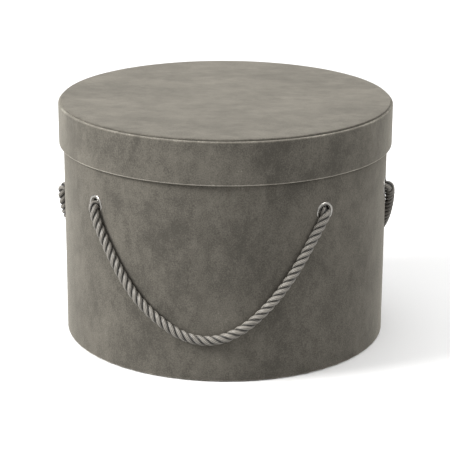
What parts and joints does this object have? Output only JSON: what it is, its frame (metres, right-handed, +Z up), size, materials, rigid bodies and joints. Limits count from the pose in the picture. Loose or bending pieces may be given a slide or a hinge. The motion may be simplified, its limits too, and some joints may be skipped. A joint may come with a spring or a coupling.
{
  "type": "hat box",
  "caption": "Round velvet-covered hat box with a lift-off lid and twisted rope handles through nickel eyelets.",
  "frame": {"origin": "centre of the base, on the surface that the box stands on", "axes": "+Z up through the lid, -Y towards the front rope handle, X through the two side eyelets"},
  "size_m": [0.333, 0.332, 0.23],
  "materials": {
    "velvet": "short-pile velvet, soft nap",
    "greyboard": "matt",
    "panel_card": "matt",
    "lining_paper": "matt, fine linen texture",
    "base_paper": "matt",
    "rope": "twisted, slightly silky",
    "whipping_thread": "waxed thread",
    "eyelet_metal": "polished nickel"
  },
  "bodies": {
    "box": {"base_board": "greyboard", "base_cover": "base_paper", "eyelet_front_left": "eyelet_metal", "eyelet_front_right": "eyelet_metal", "eyelet_side_left": "eyelet_metal", "eyelet_side_right": "eyelet_metal", "eyelet_washer_front_left": "eyelet_metal", "eyelet_washer_front_right": "eyelet_metal", "eyelet_washer_side_left": "eyelet_metal", "eyelet_washer_side_right": "eyelet_metal", "floor_card": "lining_paper", "knot_front_left": "rope", "knot_front_right": "rope", "knot_side_left": "rope", "knot_side_right": "rope", "rope_stub_front_left": "rope", "rope_stub_front_right": "rope", "rope_stub_side_left": "rope", "rope_stub_side_right": "rope", "rope_tail_front_left": "rope", "rope_tail_front_right": "rope", "rope_tail_side_left": "rope", "rope_tail_side_right": "rope", "wall_board": "greyboard", "wall_lining": "lining_paper", "wall_velvet": "velvet", "whipping_front_left": "whipping_thread", "whipping_front_right": "whipping_thread", "whipping_side_left": "whipping_thread", "whipping_side_right": "whipping_thread"},
    "lid": {"lid_band_board": "greyboard", "lid_band_lining": "lining_paper", "lid_cover": "velvet", "lid_panel_card": "panel_card", "lid_panel_velvet": "velvet", "lid_top_board": "greyboard", "lid_top_lining": "lining_paper"},
    "front_handle": {"front_rope": "rope"},
    "back_handle": {"back_rope": "rope"}
  },
  "joints": [
    {"name": "lid_lift", "type": "slide", "parent": "box", "child": "lid", "axis": [0, 0, 1], "range_m": [0, 0.2]},
    {"name": "front_handle_swing", "type": "hinge", "parent": "box", "child": "front_handle", "pos_m": [0, -0.11936, 0.1538], "axis": [-0.9999, 0, -0.011], "range_deg": [0, 105]},
    {"name": "back_handle_swing", "type": "hinge", "parent": "box", "child": "back_handle", "pos_m": [-0.0001, -0.01129, 0.143], "axis": [0.9989, -0.0087, 0.0464], "range_deg": [0, 50]}
  ]
}
